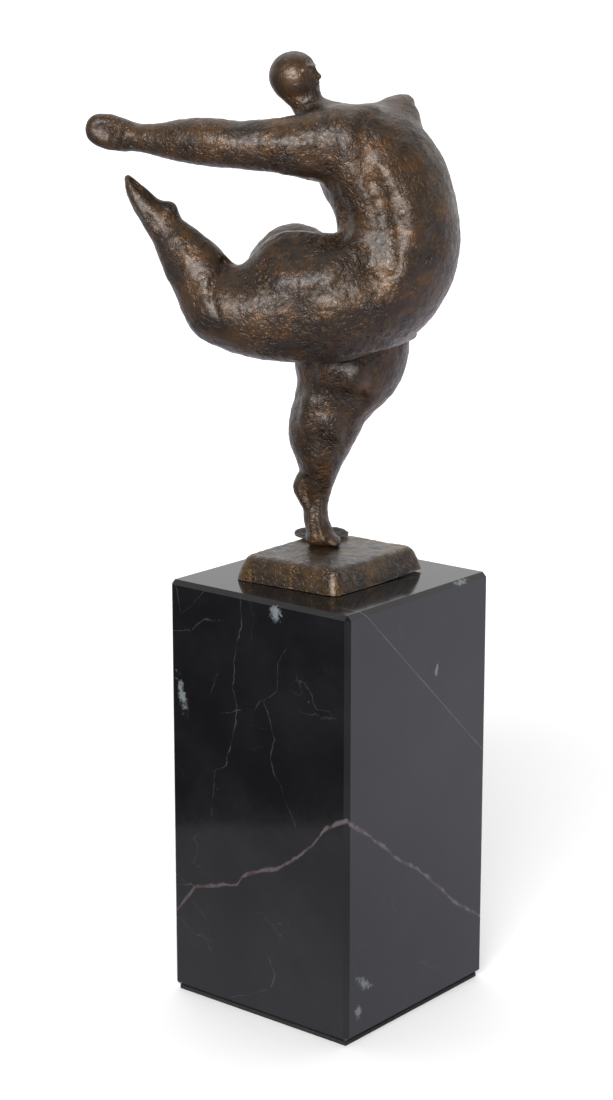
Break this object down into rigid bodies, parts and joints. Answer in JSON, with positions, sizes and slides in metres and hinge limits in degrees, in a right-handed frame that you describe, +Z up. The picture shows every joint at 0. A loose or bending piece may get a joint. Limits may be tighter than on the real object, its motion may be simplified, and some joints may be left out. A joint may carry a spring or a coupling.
{
  "type": "bronze dancer statuette on marble plinth",
  "caption": "Full-figured bronze dancer balancing on one pointed foot, on a small bronze base bolted to a tall square plinth of black marble.",
  "frame": {"origin": "middle of the flat underside of the felt pad, where the statuette stands", "axes": "+Z up; X and Y square to the plinth's sides; the dancer's chest faces about 39 degrees from +X towards +Y and the raised leg trails the other way"},
  "size_m": [0.1343, 0.1199, 0.4177],
  "materials": {
    "black_marble": "polished black marble with pale veins",
    "felt": "black felt",
    "golden_bronze": "golden brown patinated bronze, hand worked",
    "brown_bronze": "dark brown patinated bronze, hand worked and waxed",
    "machined_bronze": "machined bronze",
    "zinc_plated_steel": "zinc plated",
    "rubber": "matt"
  },
  "bodies": {
    "root": {"marble_plinth": "black_marble", "felt_pad": "felt", "bronze_base": "golden_bronze", "foundry_medallion": "brown_bronze", "torso": "brown_bronze", "head": "brown_bronze", "arms": "brown_bronze", "raised_leg": "brown_bronze", "standing_leg": "brown_bronze", "neck_dowel": "machined_bronze", "right_shoulder_dowel": "machined_bronze", "left_shoulder_dowel": "machined_bronze", "raised_hip_sleeve": "machined_bronze", "standing_hip_sleeve": "machined_bronze", "foot_pin": "zinc_plated_steel", "mounting_stud": "zinc_plated_steel", "plinth_washer": "zinc_plated_steel", "spring_washer": "zinc_plated_steel", "plinth_nut": "zinc_plated_steel", "base_gasket": "rubber"}
  },
  "joints": []
}
